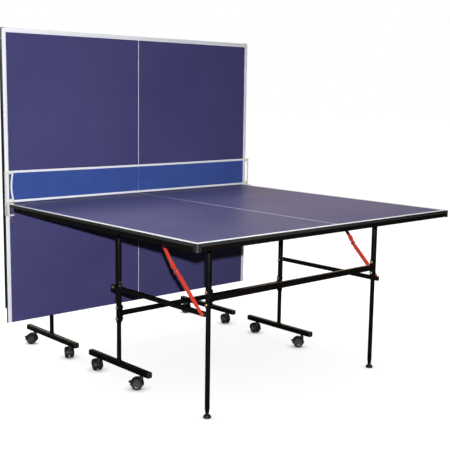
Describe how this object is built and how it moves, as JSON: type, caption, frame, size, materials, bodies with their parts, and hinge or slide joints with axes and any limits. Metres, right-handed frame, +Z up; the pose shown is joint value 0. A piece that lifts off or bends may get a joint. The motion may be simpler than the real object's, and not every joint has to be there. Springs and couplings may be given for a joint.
{
  "type": "table tennis table",
  "caption": "Folding table tennis table in playback position: near half flat on wheeled legs with a clamped net, far half folded upright behind it.",
  "frame": {"origin": "on the floor, at the centre of the whole table's bounding box bottom", "axes": "+X across the table to the right as the near player sees it, +Y from the near end towards the net and the far half, +Z up"},
  "size_m": [1.543, 1.631, 1.56],
  "materials": {
    "board_top": "blue-violet roller-coated board, low sheen, dark grey edge band",
    "frame": "black powder coat, satin",
    "strut": "red-orange powder coat, satin",
    "caster_wheel": "moulded nylon, satin",
    "caster_fork": "moulded nylon, satin",
    "levelling_foot": "moulded black plastic",
    "net_cloth": "blue mesh cloth with white tapes",
    "net_post": "light grey enamel",
    "net_clamp": "light grey enamel",
    "fastener": "zinc plated",
    "corner_cap": "moulded black plastic"
  },
  "bodies": {
    "near_carriage": {"near_inner_leg_left": "frame", "near_inner_leg_right": "frame", "near_inner_cross_bar": "frame"},
    "near_top": {"near_board": "board_top", "near_apron_frame": "frame", "near_pivot_rail_left": "frame", "near_pivot_rail_right": "frame", "net_clamp_left": "net_clamp", "net_clamp_right": "net_clamp"},
    "near_outer_legs": {"near_outer_leg_left": "frame", "near_outer_leg_right": "frame", "near_outer_cross_bar": "frame"},
    "near_side_bars": {"near_side_bar_left": "frame", "near_side_bar_right": "frame"},
    "near_strut_uppers": {"near_strut_upper_left": "strut", "near_strut_upper_right": "strut"},
    "near_strut_lowers": {"near_strut_lower_left": "strut", "near_strut_lower_right": "strut"},
    "near_levelling_foot_left": {"near_levelling_foot_left": "levelling_foot"},
    "near_levelling_foot_right": {"near_levelling_foot_right": "levelling_foot"},
    "near_caster_fork_left_inner": {"near_caster_fork_left_inner": "caster_fork"},
    "near_caster_wheels_left_inner": {"near_caster_wheels_left_inner": "caster_wheel"},
    "near_caster_fork_left_outer": {"near_caster_fork_left_outer": "caster_fork"},
    "near_caster_wheels_left_outer": {"near_caster_wheels_left_outer": "caster_wheel"},
    "near_caster_fork_right_inner": {"near_caster_fork_right_inner": "caster_fork"},
    "near_caster_wheels_right_inner": {"near_caster_wheels_right_inner": "caster_wheel"},
    "near_caster_fork_right_outer": {"near_caster_fork_right_outer": "caster_fork"},
    "near_caster_wheels_right_outer": {"near_caster_wheels_right_outer": "caster_wheel"},
    "far_carriage": {"far_inner_leg_left": "frame", "far_inner_leg_right": "frame", "far_inner_cross_bar": "frame"},
    "far_top": {"far_board": "board_top", "far_apron_frame": "frame", "far_pivot_rail_left": "frame", "far_pivot_rail_right": "frame"},
    "far_outer_legs": {"far_outer_leg_left": "frame", "far_outer_leg_right": "frame", "far_outer_cross_bar": "frame"},
    "far_side_bars": {"far_side_bar_left": "frame", "far_side_bar_right": "frame"},
    "far_strut_uppers": {"far_strut_upper_left": "strut", "far_strut_upper_right": "strut"},
    "far_strut_lowers": {"far_strut_lower_left": "strut", "far_strut_lower_right": "strut"},
    "far_levelling_foot_left": {"far_levelling_foot_left": "levelling_foot"},
    "far_levelling_foot_right": {"far_levelling_foot_right": "levelling_foot"},
    "far_caster_fork_left_inner": {"far_caster_fork_left_inner": "caster_fork"},
    "far_caster_wheels_left_inner": {"far_caster_wheels_left_inner": "caster_wheel"},
    "far_caster_fork_left_outer": {"far_caster_fork_left_outer": "caster_fork"},
    "far_caster_wheels_left_outer": {"far_caster_wheels_left_outer": "caster_wheel"},
    "far_caster_fork_right_inner": {"far_caster_fork_right_inner": "caster_fork"},
    "far_caster_wheels_right_inner": {"far_caster_wheels_right_inner": "caster_wheel"},
    "far_caster_fork_right_outer": {"far_caster_fork_right_outer": "caster_fork"},
    "far_caster_wheels_right_outer": {"far_caster_wheels_right_outer": "caster_wheel"},
    "net_set": {"net": "net_cloth", "net_post_left": "net_post", "net_post_right": "net_post"},
    "net_clamp_screw_left": {"net_clamp_screw_left": "net_clamp"},
    "net_clamp_screw_right": {"net_clamp_screw_right": "net_clamp"}
  },
  "joints": [
    {"name": "near_fold", "type": "hinge", "parent": "near_carriage", "child": "near_top", "pos_m": [0, 0.0145, 0.73], "axis": [-1, 0, 0], "range_deg": [0, 90], "deforming": ["net"]},
    {"name": "near_outer_leg_swing", "type": "hinge", "parent": "near_top", "child": "near_outer_legs", "pos_m": [0, -0.5895, 0.73], "axis": [-1, 0, 0], "range_deg": [-87, 0]},
    {"name": "near_side_bar_swing", "type": "hinge", "parent": "near_carriage", "child": "near_side_bars", "pos_m": [0, 0.0145, 0.43], "axis": [-1, 0, 0], "range_deg": [0, 88.57]},
    {"name": "near_strut_upper_swing", "type": "hinge", "parent": "near_top", "child": "near_strut_uppers", "pos_m": [0, -0.3075, 0.724], "axis": [-1, 0, 0], "range_deg": [0, 50.2]},
    {"name": "near_strut_lower_swing", "type": "hinge", "parent": "near_side_bars", "child": "near_strut_lowers", "pos_m": [0, -0.5895, 0.42938], "axis": [-1, 0, 0], "range_deg": [-132.38, 0]},
    {"name": "near_foot_screw_left", "type": "slide", "parent": "near_outer_legs", "child": "near_levelling_foot_left", "axis": [0, 0, 1], "range_m": [-0.01, 0]},
    {"name": "near_foot_screw_right", "type": "slide", "parent": "near_outer_legs", "child": "near_levelling_foot_right", "axis": [0, 0, 1], "range_m": [-0.01, 0]},
    {"name": "near_swivel_left_inner", "type": "hinge", "parent": "near_carriage", "child": "near_caster_fork_left_inner", "pos_m": [-0.51, 0.1795, 0.06], "axis": [0, 0, 1], "continuous": true},
    {"name": "near_wheel_spin_left_inner", "type": "hinge", "parent": "near_caster_fork_left_inner", "child": "near_caster_wheels_left_inner", "pos_m": [-0.50534, 0.19689, 0.025], "axis": [-0.9659, 0.2588, 0], "continuous": true},
    {"name": "near_swivel_left_outer", "type": "hinge", "parent": "near_carriage", "child": "near_caster_fork_left_outer", "pos_m": [-0.51, -0.1505, 0.06], "axis": [0, 0, 1], "continuous": true},
    {"name": "near_wheel_spin_left_outer", "type": "hinge", "parent": "near_caster_fork_left_outer", "child": "near_caster_wheels_left_outer", "pos_m": [-0.52338, -0.13846, 0.025], "axis": [-0.6691, -0.7431, 0], "continuous": true},
    {"name": "near_swivel_right_inner", "type": "hinge", "parent": "near_carriage", "child": "near_caster_fork_right_inner", "pos_m": [0.51, 0.1795, 0.06], "axis": [0, 0, 1], "continuous": true},
    {"name": "near_wheel_spin_right_inner", "type": "hinge", "parent": "near_caster_fork_right_inner", "child": "near_caster_wheels_right_inner", "pos_m": [0.51466, 0.19689, 0.025], "axis": [-0.9659, 0.2588, 0], "continuous": true},
    {"name": "near_swivel_right_outer", "type": "hinge", "parent": "near_carriage", "child": "near_caster_fork_right_outer", "pos_m": [0.51, -0.1505, 0.06], "axis": [0, 0, 1], "continuous": true},
    {"name": "near_wheel_spin_right_outer", "type": "hinge", "parent": "near_caster_fork_right_outer", "child": "near_caster_wheels_right_outer", "pos_m": [0.49662, -0.13846, 0.025], "axis": [-0.6691, -0.7431, 0], "continuous": true},
    {"name": "far_fold", "type": "hinge", "parent": "far_carriage", "child": "far_top", "pos_m": [0, 0.5905, 0.73], "axis": [1, 0, 0], "range_deg": [-90, 0]},
    {"name": "far_outer_leg_swing", "type": "hinge", "parent": "far_top", "child": "far_outer_legs", "pos_m": [0, 0.5905, 1.334], "axis": [1, 0, 0], "range_deg": [0, 87]},
    {"name": "far_side_bar_swing", "type": "hinge", "parent": "far_carriage", "child": "far_side_bars", "pos_m": [0, 0.5905, 0.43], "axis": [1, 0, 0], "range_deg": [-88.57, 0]},
    {"name": "far_strut_upper_swing", "type": "hinge", "parent": "far_top", "child": "far_strut_uppers", "pos_m": [0, 0.5965, 1.052], "axis": [1, 0, 0], "range_deg": [-50.2, 0]},
    {"name": "far_strut_lower_swing", "type": "hinge", "parent": "far_side_bars", "child": "far_strut_lowers", "pos_m": [0, 0.60623, 1.0338], "axis": [1, 0, 0], "range_deg": [0, 132.38]},
    {"name": "far_foot_screw_left", "type": "slide", "parent": "far_outer_legs", "child": "far_levelling_foot_left", "axis": [0, -0.0523, 0.9986], "range_m": [-0.01, 0]},
    {"name": "far_foot_screw_right", "type": "slide", "parent": "far_outer_legs", "child": "far_levelling_foot_right", "axis": [0, -0.0523, 0.9986], "range_m": [-0.01, 0]},
    {"name": "far_swivel_left_inner", "type": "hinge", "parent": "far_carriage", "child": "far_caster_fork_left_inner", "pos_m": [-0.51, 0.4255, 0.06], "axis": [0, 0, 1], "continuous": true},
    {"name": "far_wheel_spin_left_inner", "type": "hinge", "parent": "far_caster_fork_left_inner", "child": "far_caster_wheels_left_inner", "pos_m": [-0.50326, 0.44219, 0.025], "axis": [-0.9272, 0.3746, 0], "continuous": true},
    {"name": "far_swivel_left_outer", "type": "hinge", "parent": "far_carriage", "child": "far_caster_fork_left_outer", "pos_m": [-0.51, 0.7555, 0.06], "axis": [0, 0, 1], "continuous": true},
    {"name": "far_wheel_spin_left_outer", "type": "hinge", "parent": "far_caster_fork_left_outer", "child": "far_caster_wheels_left_outer", "pos_m": [-0.52157, 0.76929, 0.025], "axis": [-0.766, -0.6428, 0], "continuous": true},
    {"name": "far_swivel_right_inner", "type": "hinge", "parent": "far_carriage", "child": "far_caster_fork_right_inner", "pos_m": [0.51, 0.4255, 0.06], "axis": [0, 0, 1], "continuous": true},
    {"name": "far_wheel_spin_right_inner", "type": "hinge", "parent": "far_caster_fork_right_inner", "child": "far_caster_wheels_right_inner", "pos_m": [0.51674, 0.44219, 0.025], "axis": [-0.9272, 0.3746, 0], "continuous": true},
    {"name": "far_swivel_right_outer", "type": "hinge", "parent": "far_carriage", "child": "far_caster_fork_right_outer", "pos_m": [0.51, 0.7555, 0.06], "axis": [0, 0, 1], "continuous": true},
    {"name": "far_wheel_spin_right_outer", "type": "hinge", "parent": "far_caster_fork_right_outer", "child": "far_caster_wheels_right_outer", "pos_m": [0.49843, 0.76929, 0.025], "axis": [-0.766, -0.6428, 0], "continuous": true},
    {"name": "far_roll", "type": "slide", "parent": "near_carriage", "child": "far_carriage", "axis": [0, 1, 0], "range_m": [0, 0.8483]},
    {"name": "net_lift", "type": "slide", "parent": "near_top", "child": "net_set", "axis": [0, 0, 1], "range_m": [0, 0.2]},
    {"name": "net_clamp_travel_left", "type": "slide", "parent": "near_top", "child": "net_clamp_screw_left", "axis": [0, 0, 1], "range_m": [-0.018, 0]},
    {"name": "net_clamp_travel_right", "type": "slide", "parent": "near_top", "child": "net_clamp_screw_right", "axis": [0, 0, 1], "range_m": [-0.018, 0]}
  ],
  "couplings": [
    {"joint": "near_outer_leg_swing", "follows": "near_fold", "ratio": -0.96667},
    {"joint": "near_side_bar_swing", "follows": "near_fold", "ratio": 0.98407},
    {"joint": "near_strut_upper_swing", "follows": "near_fold", "ratio": 0.55779},
    {"joint": "near_strut_lower_swing", "follows": "near_fold", "ratio": -1.4709},
    {"joint": "far_outer_leg_swing", "follows": "far_fold", "ratio": -0.96667},
    {"joint": "far_side_bar_swing", "follows": "far_fold", "ratio": 0.98407},
    {"joint": "far_strut_upper_swing", "follows": "far_fold", "ratio": 0.55779},
    {"joint": "far_strut_lower_swing", "follows": "far_fold", "ratio": -1.4709},
    {"joint": "far_roll", "follows": "far_fold", "m_per_rad": -0.54}
  ]
}
